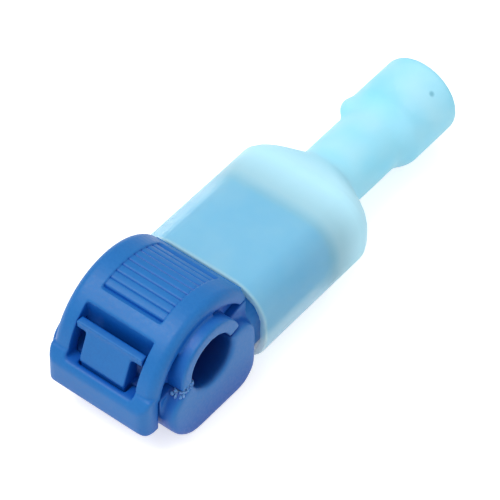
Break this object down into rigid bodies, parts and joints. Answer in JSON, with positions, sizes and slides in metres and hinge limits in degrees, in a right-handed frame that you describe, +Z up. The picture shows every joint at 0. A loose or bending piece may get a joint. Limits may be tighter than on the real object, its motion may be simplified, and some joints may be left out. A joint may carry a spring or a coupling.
{
  "type": "tap splice connector",
  "caption": "Self-stripping tap splice: a hinged hood presses a run wire into a forked contact, and an insulated push-on plug takes the branch wire from its tail.",
  "frame": {"origin": "middle of the whole footprint, on the surface that the closed connector lies on", "axes": "+Y along the plug from the latch to the branch wire's entry, +X along the run wire, +Z up"},
  "size_m": [0.011, 0.0362, 0.0098],
  "materials": {
    "tap_nylon": "moulded satin",
    "plug_nylon": "translucent satin",
    "tinned_brass": "tin plated"
  },
  "bodies": {
    "tap": {"tap_base": "tap_nylon", "tap_contact": "tinned_brass", "hinge_web": "tap_nylon"},
    "cover": {"tap_cover": "tap_nylon"},
    "plug": {"plug_housing": "plug_nylon", "plug_terminal": "tinned_brass"}
  },
  "joints": [
    {"name": "cover_hinge", "type": "hinge", "parent": "tap", "child": "cover", "pos_m": [0, -0.00737, 0.0072], "axis": [-1, 0, 0], "range_deg": [0, 95], "deforming": ["hinge_web"]},
    {"name": "plug_slide", "type": "slide", "parent": "tap", "child": "plug", "axis": [0, 1, 0], "range_m": [0, 0.0095]}
  ]
}
